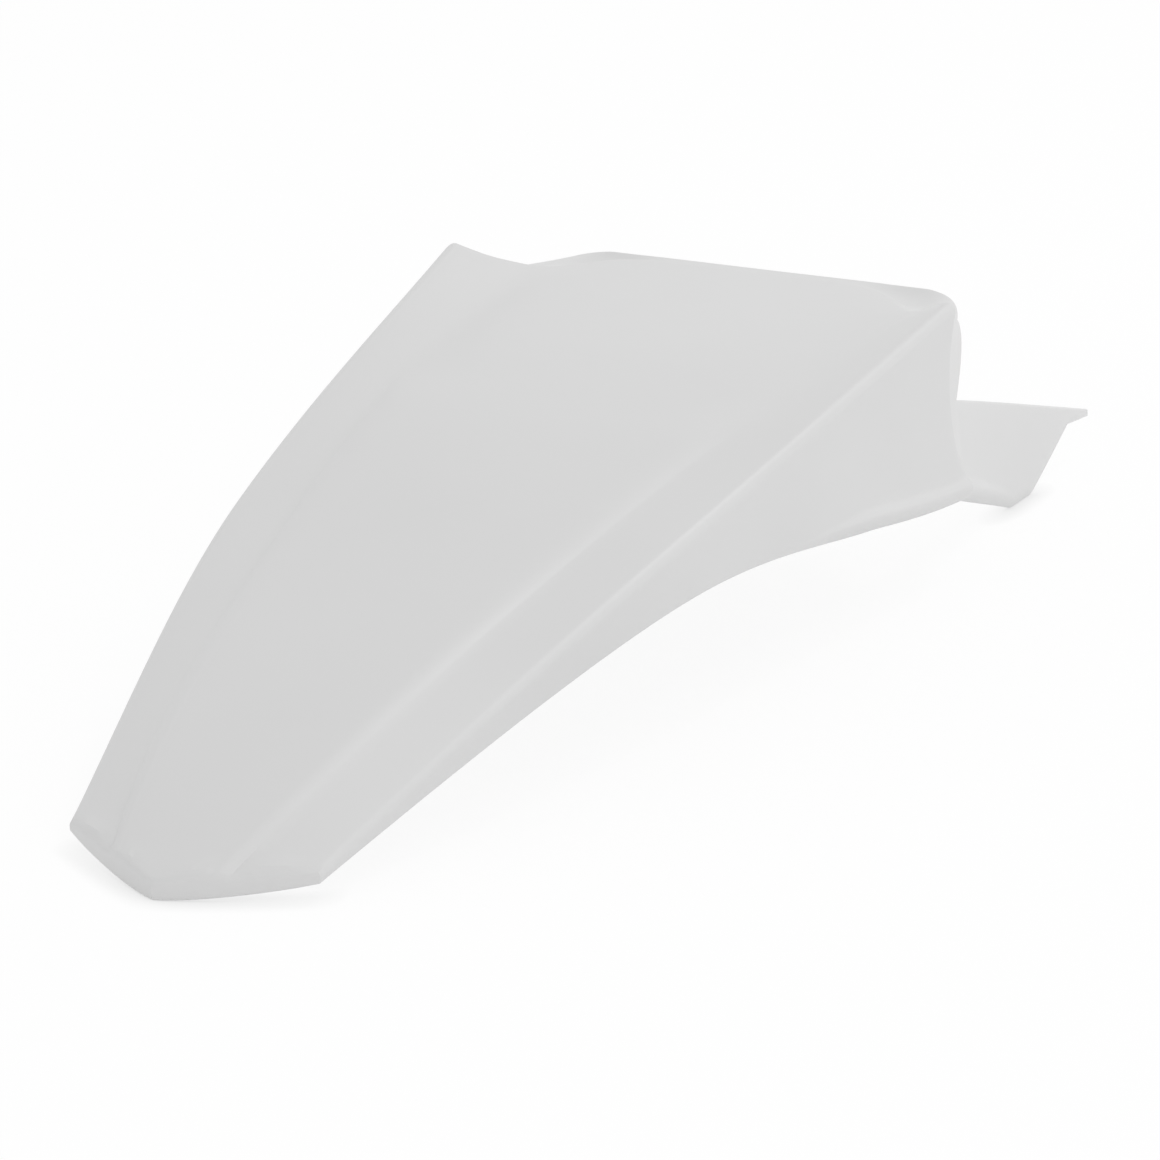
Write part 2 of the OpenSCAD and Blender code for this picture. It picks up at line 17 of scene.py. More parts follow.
import bpy
from mathutils import Euler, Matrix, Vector
from mathutils.kdtree import KDTree


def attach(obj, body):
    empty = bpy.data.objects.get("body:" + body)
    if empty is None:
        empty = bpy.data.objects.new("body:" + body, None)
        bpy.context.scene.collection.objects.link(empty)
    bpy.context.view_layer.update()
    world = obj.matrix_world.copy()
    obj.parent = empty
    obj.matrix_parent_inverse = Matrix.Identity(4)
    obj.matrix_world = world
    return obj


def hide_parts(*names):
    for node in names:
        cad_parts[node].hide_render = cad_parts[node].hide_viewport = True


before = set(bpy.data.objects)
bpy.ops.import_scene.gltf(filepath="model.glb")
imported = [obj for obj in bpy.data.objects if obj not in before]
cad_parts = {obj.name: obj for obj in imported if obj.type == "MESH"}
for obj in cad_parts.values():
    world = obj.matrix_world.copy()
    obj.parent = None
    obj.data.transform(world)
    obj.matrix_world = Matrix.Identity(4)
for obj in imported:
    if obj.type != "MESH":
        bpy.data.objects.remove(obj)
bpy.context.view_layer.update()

MM = 0.001
ROOT = "root"
NODE = "rear_fender"
SHELL_SMOOTHING = 24.0
FIXING_SMOOTHING = 35.0
PLASTIC_IOR = 1.49
SAME_PLACE = 1e-6

log = logging.getLogger("rear_fender")


class Surface(Enum):
    """The faces of the moulding, which the tool leaves with different grain."""

    SHOW = "show"
    HIDDEN = "hidden"
    EDGE = "edge"


class Side(Enum):
    """The two mirrored halves of the part."""

    RIGHT = -1
    LEFT = 1


def mix(a, b, t: float):
    """Return the value a fraction t of the way from a to b."""
    return a + (b - a) * t


def clip(t: float) -> float:
    """Return t kept between 0 and 1."""
    return min(1.0, max(0.0, t))


def ease(t: float) -> float:
    """Return a smooth step from 0 to 1 over t from 0 to 1."""
    c = clip(t)
    return c * c * (3 - 2 * c)


def arc2(a, b, c, t: float):
    """Return the point at t on the quadratic curve from a to c that is pulled towards b."""
    return mix(mix(a, b, t), mix(b, c, t), t)


def arc3(a, b, c, d, t: float):
    """Return the point at t on the cubic curve from a to d with handles b and c."""
    return mix(arc2(a, b, c, t), arc2(b, c, d, t), t)


def arc_leg(a: Vector, b: Vector, r: float) -> float:
    """Return how far from a corner between directions a and b an arc of radius r starts."""
    return r / math.tan(a.angle(b) / 2)


def arc_point(o: Vector, a: Vector, b: Vector, r: float, t: float) -> Vector:
    """Return a point of the arc that rounds a corner.

    Args:
        o: The corner.
        a: Unit direction from the corner along the first face.
        b: Unit direction along the second face.
        r: Radius of the arc.
        t: 0 on the first face and 1 on the second.

    Returns:
        The point.
    """
    full = a.angle(b)
    mid = o + (a + b).normalized() * r / math.sin(full / 2)
    leg = arc_leg(a, b, r)
    u, v = (o + leg * a - mid).normalized(), (o + leg * b - mid).normalized()
    turn = math.pi - full
    return mid + r * (math.sin(turn * (1 - t)) * u + math.sin(turn * t) * v) / math.sin(turn)


def look_up(values: list[float], at: float) -> float:
    """Return the value at a fractional place in a list, straight between its entries."""
    i = min(int(at), len(values) - 2)
    return mix(values[i], values[i + 1], at - i)


def chain(marks: tuple[float, ...], steps: tuple[int, ...]) -> list[float]:
    """Return values from the first mark to the last, in so many even steps from each to the next."""
    values = [float(marks[0])]
    for a, b, n in zip(marks, marks[1:], steps):
        values += [mix(a, b, i / n) for i in range(1, n + 1)]
    return values


@dataclass(frozen=True)
class Line:
    """A smooth line through its stations, level beyond its ends.

    Args:
        at: Distance of each station from the tail's apex.
        values: Value at each station.
        slopes: Slope at each station.
    """

    at: tuple[float, ...]
    values: tuple[float, ...]
    slopes: tuple[float, ...]

    def __call__(self, x: float) -> float:
        """Return the line's value at a distance x from the apex."""
        x = min(max(x, self.at[0]), self.at[-1])
        i = max(k for k, start in enumerate(self.at[:-1]) if start <= x)
        span = self.at[i + 1] - self.at[i]
        t = (x - self.at[i]) / span
        s = 1 - t
        ends = self.values[i] * (1 + 2 * t) * s * s + self.values[i + 1] * t * t * (3 - 2 * t)
        return ends + span * (self.slopes[i] * t * s * s - self.slopes[i + 1] * t * t * s)


@dataclass
class FenderForm:
    """Sizes of the moulding and the surfaces that they span."""

    overall_l: float = 660.0
    wall: float = 2.6
    crease_inside_r: float = 1.2
    tail_w: float = 104.0
    tail_sweep: float = 26.0
    tail_corner_z: float = 10.8
    mid_x: float = 200.0
    mid_w: float = 184.0
    mid_z: float = 76.0
    wing_x: float = 422.5
    wing_w: float = 242.4
    wing_z: float = 133.6
    apex_z: float = 7.2
    tail_lower_z: float = 6.2
    tail_bow: float = 1.2
    lip_bow: float = 1.6
    ridge_tail_w: float = 48.0
    bed_mid_z: float = 82.0
    front_x: float = 480.7
    front_z: float = 118.6
    front_straight_w: float = 104.0
    ridge_mid_w: float = 126.4
    ridge_mid_z: float = 77.9
    ridge_front_x: float = 447.0
    ridge_front_w: float = 174.0
    ridge_front_z: float = 116.6
    shoulder_tail_w: float = 4.4
    shoulder_front_w: float = 15.0
    raise_tail: float = 2.8
    raise_front: float = 3.2
    raise_x: float = 280.0
    raise_fade: float = 60.0
    fold_round: float = 7.0
    bed_powers: tuple[float, float] = (2.0, 5.0)
    skirt_lean: float = 4.0
    arch_x: float = 253.0
    arch_z: float = 56.0
    skirt_sweep: float = 38.0
    skirt_front_z: float = 33.4
    panel_hollow: float = 1.6
    bead_h: float = 14.5
    bead_flare: float = 2.6
    bead_turn: float = 80.0
    bead_start_x: float = 296.0
    bead_grow_l: float = 70.0
    bead_low: float = 0.62
    step_d: float = 3.0
    step_run: float = 1.2
    rolled_run: float = 3.0
    flange_l: float = 18.3
    flange_straight_w: float = 156.0
    shoulder_in: tuple[float, float, float] = (51.5, 19.6, 23.3)
    corner_hollow: float = 2.5
    hollow_from: tuple[float, float] = (48.0, 22.0)
    hollow_to: tuple[float, float] = (94.0, 14.0)
    tab_root_w: float = 222.0
    tab_w: float = 194.0
    tab_root_z: float = 78.4
    tab_slope: float = 15.4
    tab_draw_in: float = -0.22
    foot_x: float = 584.0
    foot_l: float = 20.0
    foot_r: float = 12.0
    tab_front_angle: float = 26.6
    finger_l: float = 28.0
    finger_h: float = 3.6
    tab_root_reach: float = 24.0

    # Columns of the section, from the centre line out: bed, ridge rounding, band; then the
    # crease rounding, the skirt's wall and its lower edge. A place between two is a fraction.
    bed_cols: tuple[float, ...] = (0, 0.17, 0.34, 0.5, 0.65, 0.79, 0.9, 1.0)
    ridge_col: int = 7
    band_col: int = 11
    crease_col: int = 13
    wall_col: int = 16
    edge_col: int = 21
    last_col: int = 26
    tab_col: int = 19
    straight_col: int = 4
    corner_col: int = 6

    def __post_init__(self) -> None:
        """Lay out the lines and the fixed points that the sizes give."""
        self.crease_r = self.crease_inside_r + self.wall
        self.setback = self.crease_r * 0.55
        lean = math.tan(math.radians(self.skirt_lean))
        self.skirt_down = Vector((-lean, -1)).normalized()
        at = (self.tail_sweep, self.mid_x, self.wing_x)
        widths = (self.tail_w / 2, self.mid_w / 2, self.wing_w / 2)
        self.crease_y = Line(at, widths, (0.23, 0.17, 0.12))
        self.crease_z = Line(at, (self.tail_corner_z, self.mid_z, self.wing_z), (0.395, 0.276, 0.27))
        self.ridge_tail_x = self.tail_edge_x(self.ridge_tail_w / 2)
        at = (self.ridge_tail_x, self.mid_x, self.ridge_front_x)
        widths = (self.ridge_tail_w / 2, self.ridge_mid_w / 2, self.ridge_front_w / 2)
        self.ridge_y = Line(at, widths, (0.33, 0.175, 0.02))
        tail_z = self.tail_top_z(self.ridge_tail_w / 2)
        self.ridge_z = Line(at, (tail_z, self.ridge_mid_z, self.ridge_front_z), (0.57, 0.28, 0.06))
        at = (0.0, self.mid_x, self.front_x)
        self.centre_z = Line(at, (self.apex_z, self.bed_mid_z, self.front_z), (0.6, 0.29, 0.03))
        at = (self.tail_sweep, self.arch_x, self.wing_x + self.skirt_sweep)
        self.lower_z = Line(at, (self.tail_lower_z, self.arch_z, self.skirt_front_z), (0.3, 0.0, -0.036))
        self.tip_x = self.front_x + self.flange_l
        self.flange_z = self.front_z - self.step_d
        across, inward, down = self.shoulder_in
        self.shoulder = Vector((self.wing_x + across, self.wing_w / 2 - inward, self.wing_z - down))
        self._lay_out_tab()
        self._lay_out_front()

    def _lay_out_tab(self) -> None:
        """Work out the line of the side tab's outer face and the fixed points of its outline."""
        at = (self.wing_x + 22, self.foot_x)
        self.tab_y = Line(at, (self.tab_root_w / 2, self.tab_w / 2), (self.tab_draw_in, 0.0))
        self.tab_root = (self.wing_x + self.shoulder_in[0] - 14, self.tab_root_z)
        self.panel_foot = (self.wing_x + self.skirt_sweep, self.skirt_front_z)
        self.tab_low_root_x = self.panel_foot[0] + self.tab_root_reach
        self.foot_back_x = self.foot_x - self.foot_l
        self.finger_x = self.overall_l - self.finger_l
        d, a = self.foot_back_x - self.panel_foot[0], self.foot_r / 2
        self.tab_back_slope = (d - math.sqrt(d * d - 4 * a * self.skirt_front_z)) / (2 * a)
        self.front_slope = math.tan(math.radians(self.tab_front_angle))

    def _lay_out_front(self) -> None:
        """Work out the fixed points of the step and the flange's outline."""
        across = [self.section(self.wing_x, c).x for c in range(self.crease_col + 1)]
        self.front_end_x = [self.front_line_x(y) for y in across]
        tab_root_y = self.tab_y(self.tab_root[0])
        self.tab_root_3d = Vector((self.tab_root[0], tab_root_y, self.tab_root[1]))
        self.outline_a = Vector((self.tip_x, self.flange_straight_w / 2, self.flange_z))
        corner_end = self.wall_col + 1
        self.step_a = self.sheet(1.0, self.corner_col) + Vector((self.step_run, 0, -self.step_d))
        self.step_b = self.sheet(1.0, corner_end) + Vector((self.step_run, -self.step_d, 0))
        x = mix(self.step_a.x, self.step_b.x, 0.6)
        self.step_v = Vector((x, self.step_b.y, self.step_a.z + 4))
        self.straight_y = self.sheet(1.0, self.straight_col).y

    def tail_edge_x(self, y: float) -> float:
        """Return how far the tail's edge lies ahead of the apex at y."""
        return self.tail_sweep * (y / (self.tail_w / 2)) ** self.tail_bow

    def tail_top_z(self, y: float) -> float:
        """Return the height of the tail's upper edge at y."""
        return mix(self.apex_z, self.tail_corner_z, y / (self.tail_w / 2))

    def tail_low_z(self, y: float) -> float:
        """Return the height of the tail's lower edge at y."""
        return self.tail_lower_z * (y / (self.tail_w / 2)) ** self.lip_bow

    def raised(self, x: float) -> float:
        """Return how much of the raised middle there is at x, from 1 to 0."""
        return 1 - ease((x - self.raise_x) / self.raise_fade)

    def shoulder_w(self, x: float) -> float:
        """Return the width of the raised middle's shoulder at x."""
        t = (x - self.ridge_tail_x) / (self.raise_x - self.ridge_tail_x)
        return mix(self.shoulder_tail_w, self.shoulder_front_w, t)

    def bed_edge(self, x: float) -> Vector:
        """Return the edge of the seat bed at x, out and up."""
        g = self.raised(x)
        t = clip((x - self.ridge_tail_x) / (self.raise_x - self.ridge_tail_x))
        rise = g * mix(self.raise_tail, self.raise_front, t)
        return Vector((self.ridge_y(x) - g * self.shoulder_w(x), self.ridge_z(x) + rise))

    def bed_z(self, x: float, y: float) -> float:
        """Return the height of the seat bed at a place between its edges."""
        start_x = self.mid_x + 50
        power = mix(*self.bed_powers, ease((x - start_x) / (self.wing_x - start_x)))
        edge = self.bed_edge(x)
        s = min(1.0, abs(y) / edge.x)
        return mix(self.centre_z(x), edge.y, s**power)

    def section(self, x: float, c: float) -> Vector:
        """Return the section's point, out and up, at column c from the centre to the crease.

        Args:
            x: Distance from the apex.
            c: Column, 0 at the centre line and crease_col where the crease's rounding starts.

        Returns:
            The point as (y, z).
        """
        g = self.raised(x)
        ridge = Vector((self.ridge_y(x), self.ridge_z(x)))
        crease = Vector((self.crease_y(x), self.crease_z(x)))
        out = (crease - ridge).normalized()
        d = (1 - g) * min(self.fold_round, (crease - ridge).length * 0.45)
        bed_end = self.bed_edge(x).x - d
        if c <= self.ridge_col:
            y = look_up(self.bed_cols, c) * bed_end
            return Vector((y, self.bed_z(x, y)))
        round_end = ridge + d * out
        if c <= self.band_col:
            start = Vector((bed_end, self.bed_z(x, bed_end)))
            half_w = self.shoulder_w(x) * 0.5
            slope = start.y - self.bed_z(x, bed_end - 1)
            pull = mix(ridge, start + half_w * Vector((1, slope)), g)
            t = (c - self.ridge_col) / (self.band_col - self.ridge_col)
            return arc2(start, pull, round_end, t)
        band_end = crease - arc_leg(-out, self.skirt_down, self.crease_r) * out
        return mix(round_end, band_end, (c - self.band_col) / (self.crease_col - self.band_col))

    def front_line_x(self, y: float) -> float:
        """Return where the skin ends at the front for a place y across."""
        a = self.front_straight_w / 2
        return self.front_x - (self.front_x - self.wing_x) * ease((y - a) / (self.wing_w / 2 - a))

    def tail_x(self, c: float) -> float:
        """Return where the skin starts at the tail for column c."""
        y = self.section(self.tail_edge_x(self.tail_w / 2 * c / self.crease_col), c).x
        return self.tail_edge_x(y)

    def flare(self, x: float) -> float:
        """Return how far the flared lower edge has grown at x, from 0 to 1."""
        return ease((x - self.bead_start_x) / self.bead_grow_l)

    def edge_profile(self, p: float, h: float, flared: float, turned: float) -> tuple[float, float]:
        """Return a point of a lower edge's profile.

        Args:
            p: Place on the profile, 0 at its top and 5 at its end.
            h: Height of the profile.
            flared: How far it stands out.
            turned: How far it turns under, in degrees.

        Returns:
            How far the point is outwards and how far it is above the edge.
        """
        low = h * self.bead_low
        if p < 2:
            return flared * ease(p / 2), mix(h, low, p / 2)
        turn = math.radians(max(turned, 0.5))
        at = turn * (p - 2) / 3
        out = flared - low / math.sin(turn) * (1 - math.cos(at))
        return out, low * (1 - math.sin(at) / math.sin(turn))

    def drop(
        self, w: float, top: Vector, o: Vector, low_z: float, leaning: float, grown: float, sweep: float
    ) -> Vector:
        """Return a point of a chain that runs from the skin over a crease and down.

        Args:
            w: Place on the chain, 0 at the skin and 13 at the lower edge.
            top: The skin's last point.
            o: The corner of the crease above the chain.
            low_z: Height of the lower edge.
            leaning: 1 on a skirt that leans inwards, 0 on the tail's lip.
            grown: How far the flared edge has grown.
            sweep: How far the chain's foot lies ahead of its head.

        Returns:
            The point on the left half.
        """
        h = o.z - low_z
        lean = leaning * math.tan(math.radians(self.skirt_lean))
        down = Vector((0, -lean, -1)).normalized()
        back = (top - o).normalized()
        r = min(self.crease_r, h * 0.55 * math.tan(back.angle(down) / 2))
        rounding = self.wall_col - self.crease_col
        if w <= 0:
            return top.copy()
        if w <= rounding:
            return arc_point(o, back, down, r, w / rounding)
        edge_h = mix(min(h * 0.35, 5), self.bead_h, grown)
        wall_end = self.edge_col - self.crease_col
        if w < wall_end:
            out = 0.0
            start = -arc_leg(back, down, r) * down.z
            fall = mix(start, h - edge_h, (w - rounding) / (wall_end - rounding))
        else:
            flared, turned = self.bead_flare * grown, self.bead_turn * grown
            out, up = self.edge_profile(w - wall_end, edge_h, flared, turned)
            fall = h - up
        f = fall / h
        hollow = self.panel_hollow * grown * math.sin(math.pi * clip(f / 0.85))
        return o + Vector((sweep * f * f, out - hollow - fall * lean, -fall))

    def sheet(self, u: float, c: float) -> Vector:
        """Return a point of the skin or the skirt on the left half.

        Args:
            u: 0 at the tail and 1 at the front line.
            c: Column from the centre line to the lower edge.

        Returns:
            The point in millimetres.
        """
        on_skin = min(c, self.crease_col)
        end = look_up(self.front_end_x, on_skin)
        x = mix(self.tail_x(on_skin) + self.setback, end, u)
        y, z = self.section(x, on_skin)
        top = Vector((x, y, z))
        if c <= self.crease_col:
            return top
        crease_x = self.tail_sweep if u <= 0 else x
        o = Vector((crease_x, self.crease_y(crease_x), self.crease_z(crease_x)))
        ahead = self.skirt_sweep * ease((u - 0.45) / 0.55) * u
        low_z = self.lower_z(crease_x + ahead)
        return self.drop(c - self.crease_col, top, o, low_z, 1.0, self.flare(crease_x), ahead)

    def lip(self, c: float, w: float) -> Vector:
        """Return a point of the tail's lip: w runs from the skin's edge down to the lower edge."""
        top = self.sheet(0.0, c)
        y = self.section(self.tail_x(c), c).x if c > 0 else 0.0
        past = clip((c - self.ridge_col) / (self.band_col - self.ridge_col))
        inside = min(1.0, y / self.bed_edge(self.ridge_tail_x).x)
        rise = 0.8 * self.raise_tail * inside * (1 - past * past)
        o = Vector((self.tail_edge_x(y), y, self.tail_top_z(y) + rise))
        if c >= self.crease_col:
            o = Vector((self.tail_sweep, self.crease_y(self.tail_sweep), self.crease_z(self.tail_sweep)))
            return self.drop(w, top, o, self.lower_z(self.tail_sweep), 1.0, 0.0, 0.0)
        return self.drop(w, top, o, self.tail_low_z(y), 0.0, 0.0, 0.0)

    def risen(self, d: float, m: float) -> float:
        """Return the rise of a line of slope m at a distance d beyond its rounded start."""
        reach = self.foot_r * m
        if d <= 0:
            return 0.0
        return m * d * d / (2 * reach) if d < reach else m * (d - reach / 2)

    def tab_top_z(self, x: float) -> float:
        """Return the height of the tab's upper edge."""
        return self.tab_root[1] - (x - self.tab_root[0]) * math.tan(math.radians(self.tab_slope))

    def tab_low_z(self, x: float) -> float:
        """Return the height of the tab's lower edge."""
        if x < self.foot_x:
            return self.risen(self.foot_back_x - x, self.tab_back_slope)
        if x < self.finger_x:
            return self.risen(x - self.foot_x, self.front_slope)
        start = self.risen(self.finger_x - self.foot_x, self.front_slope)
        end = self.tab_top_z(self.overall_l) - self.finger_h
        return mix(start, end, (x - self.finger_x) / self.finger_l)

    def tab_point(self, xb: float, c: float) -> Vector:
        """Return a point of the side tab.

        Args:
            xb: Distance of the section's lower end from the apex.
            c: Column, from tab_col at the upper edge to last_col at the lower one.

        Returns:
            The point on the left half.
        """
        t = (xb - self.tab_low_root_x) / (self.overall_l - self.tab_low_root_x)
        xt = xb + (self.tab_root[0] - self.tab_low_root_x) * (1 - t) ** 2
        zt, zb = self.tab_top_z(xt), self.tab_low_z(xb)
        h = zt - zb
        fading = 1 - ease((xb - self.tab_low_root_x) / (self.finger_x - 12 - self.tab_low_root_x))
        edge_h = min(self.bead_h * mix(0.5, 1, fading), h * 0.4)
        if c < self.edge_col:
            out = 0.0
            z = mix(zt, zb + edge_h, (c - self.tab_col) / (self.edge_col - self.tab_col))
        else:
            flared, turned = self.bead_flare * fading**3, self.bead_turn * fading
            out, up = self.edge_profile(c - self.edge_col, edge_h, flared, turned)
            z = zb + up
        x = mix(xt, xb, (zt - z) / h)
        return Vector((x, self.tab_y(x) + out, z))

    def step_foot(self, c: float) -> Vector:
        """Return the foot of the step below the front line at column c."""
        front = self.sheet(1.0, c)
        if c <= self.corner_col:
            return front + Vector((self.step_run, 0, -self.step_d))
        end = self.wall_col + 1
        if c < end:
            t = (c - self.corner_col) / (end - self.corner_col)
            return arc2(self.step_a, self.step_v, self.step_b, t)
        rolled = ease((c - self.tab_col) / 2)
        run = mix(self.step_run, self.rolled_run, rolled)
        return front + Vector((run, -self.step_d * (1 - rolled), 0))

    def outline(self, c: float) -> Vector:
        """Return the flange's outer edge, or the tab's root, at column c."""
        if c < self.straight_col:
            y = self.sheet(1.0, c).y / self.straight_y * self.outline_a.y
            return Vector((self.tip_x, y, self.flange_z))
        if c < self.wall_col:
            t = (c - self.straight_col) / (self.wall_col - self.straight_col)
            pull = self.shoulder + Vector((14, -5, 2))
            return arc3(self.outline_a, self.outline_a + Vector((0, 12, -1)), pull, self.shoulder, t)
        if c <= self.tab_col:
            t = (c - self.wall_col) / (self.tab_col - self.wall_col)
            return arc2(self.shoulder, self.shoulder + Vector((1, 4, -6.5)), self.tab_root_3d, t)
        return self.tab_point(self.tab_low_root_x, c)

    def flange(self, t: float, c: float) -> Vector:
        """Return a point of the flange: t is 0 at the step's foot and 1 at the outline."""
        p = mix(self.step_foot(c), self.outline(c), t)
        if c <= self.crease_col:
            (inner, rise), (outer, fall) = self.hollow_from, self.hollow_to
            across = ease((p.y - inner) / rise) * ease((outer - p.y) / fall)
            p.z -= self.corner_hollow * (across * math.sin(math.pi * t))
        return p


def add_node(
    tree: bpy.types.NodeTree, kind: str, values: dict | None = None, **settings
) -> bpy.types.Node:
    """Add a shader node.

    Args:
        tree: Tree or group that the node goes into.
        kind: Blender's node type without its "ShaderNode".
        values: By the input's name or number, its default value or the socket that feeds it.
        settings: Values for the node's own properties.

    Returns:
        The node.
    """
    node = tree.nodes.new("ShaderNode" + kind)
    for key, value in settings.items():
        setattr(node, key, value)
    for key, value in (values or {}).items():
        if isinstance(value, bpy.types.NodeSocket):
            tree.links.new(value, node.inputs[key])
        else:
            node.inputs[key].default_value = value
    return node


@dataclass(frozen=True)
class MouldedPlastic:
    """Pale grey injection-moulded plastic with a fine grain.

    Args:
        name: Name of the material.
        color: Base colour, linear.
        roughness: Mean roughness.
        grain: Depth of the tool's grain in the normal, 0 for none.
        grain_scale: Grains per metre.
    """

    name: str
    color: tuple[float, float, float]
    roughness: float
    grain: float
    grain_scale: float

    def build(self) -> bpy.types.Material:
        """Make the material with its mottle and grain."""
        material = bpy.data.materials.new(self.name)
        material.use_nodes = True
        tree = material.node_tree
        shader = tree.nodes["Principled BSDF"]
        shader.inputs["IOR"].default_value = PLASTIC_IOR
        place = add_node(tree, "TexCoord")
        values = {
            "Place": place.outputs["Object"],
            "Color": (*self.color, 1),
            "Roughness": self.roughness,
            "Grain": self.grain,
            "Grain Scale": self.grain_scale,
        }
        look = add_node(tree, "Group", values, node_tree=moulded_look())
        for result, target in (("Color", "Base Color"), ("Roughness", "Roughness"), ("Normal", "Normal")):
            tree.links.new(look.outputs[result], shader.inputs[target])
        return material


def moulded_look() -> bpy.types.NodeTree:
    """Return the node group shared by the moulded finishes, made on first use."""
    name = "Moulded look"
    if name in bpy.data.node_groups:
        return bpy.data.node_groups[name]
    group = bpy.data.node_groups.new(name, "ShaderNodeTree")
    sockets = (
        ("Place", "INPUT", "NodeSocketVector"),
        ("Color", "INPUT", "NodeSocketColor"),
        ("Roughness", "INPUT", "NodeSocketFloat"),
        ("Grain", "INPUT", "NodeSocketFloat"),
        ("Grain Scale", "INPUT", "NodeSocketFloat"),
        ("Color", "OUTPUT", "NodeSocketColor"),
        ("Roughness", "OUTPUT", "NodeSocketFloat"),
        ("Normal", "OUTPUT", "NodeSocketVector"),
    )
    for label, way, kind in sockets:
        group.interface.new_socket(label, in_out=way, socket_type=kind)
    given = group.nodes.new("NodeGroupInput").outputs
    result = group.nodes.new("NodeGroupOutput").inputs

    mottle = add_node(group, "TexNoise", {"Vector": given["Place"], "Scale": 9.0, "Detail": 3.0})
    values = {"Value": mottle.outputs["Fac"], "To Min": 0.975, "To Max": 1.02}
    tone = add_node(group, "MapRange", values)
    values = {0: given["Color"], "Scale": tone.outputs["Result"]}
    shade = add_node(group, "VectorMath", values, operation="SCALE")

    values = {"Vector": given["Place"], "Scale": given["Grain Scale"], "Detail": 2.0}
    grain = add_node(group, "TexNoise", values)
    values = {"Strength": given["Grain"], "Distance": 0.0001, "Height": grain.outputs["Fac"]}
    bump = add_node(group, "Bump", values)
    values = {"Value": grain.outputs["Fac"], "To Min": -0.04, "To Max": 0.04}
    gloss = add_node(group, "MapRange", values)
    values = {0: given["Roughness"], 1: gloss.outputs["Result"]}
    rough = add_node(group, "Math", values, operation="ADD", use_clamp=True)

    group.links.new(shade.outputs["Vector"], result["Color"])
    group.links.new(rough.outputs["Value"], result["Roughness"])
    group.links.new(bump.outputs["Normal"], result["Normal"])
    return group


FINISHES = {
    Surface.SHOW: MouldedPlastic("Satin grey plastic", (0.68, 0.68, 0.68), 0.42, 0.12, 2600.0),
    Surface.HIDDEN: MouldedPlastic("Matt grey plastic", (0.66, 0.66, 0.66), 0.55, 0.25, 1800.0),
    Surface.EDGE: MouldedPlastic("Smooth grey plastic", (0.69, 0.69, 0.69), 0.36, 0.06, 2600.0),
}
SLOTS = {surface: i for i, surface in enumerate(Surface)}


def mirrored(p: Vector, side: Side) -> Vector:
    """Return a point or a direction of the left half on one side, in metres."""
    return Vector((p.x, side.value * p.y, p.z)) * MM


def tree_of(points: list[Vector]) -> KDTree:
    """Return a search tree that holds the points by their place in the list."""
    tree = KDTree(len(points))
    for i, point in enumerate(points):
        tree.insert(point, i)
    tree.balance()
    return tree


def clear_selection() -> None:
    """Deselect every object, the CAD nodes too."""
    if bpy.context.object and bpy.context.object.mode != "OBJECT":
        bpy.ops.object.mode_set(mode="OBJECT")
    bpy.ops.object.select_all(action="DESELECT")


def make_active(obj: bpy.types.Object) -> None:
    """Select one object and make it the active one."""
    clear_selection()
    obj.select_set(True)
    bpy.context.view_layer.objects.active = obj


def pick_nothing(kind: str) -> None:
    """Set what the active mesh selects, VERT, EDGE or FACE, and deselect all of it."""
    bpy.ops.object.mode_set(mode="EDIT")
    bpy.ops.mesh.select_mode(type=kind)
    bpy.ops.mesh.select_all(action="DESELECT")
    bpy.ops.object.mode_set(mode="OBJECT")


def apply_modifier(obj: bpy.types.Object, name: str, kind: str, **settings) -> None:
    """Add a modifier with its settings and apply it at once.

    Args:
        obj: Object to change.
        name: Name of the modifier.
        kind: Blender's modifier type.
        settings: Values for the modifier's properties.
    """
    make_active(obj)
    modifier = obj.modifiers.new(name, kind)
    for key, value in settings.items():
        setattr(modifier, key, value)
    bpy.ops.object.modifier_apply(modifier=modifier.name)


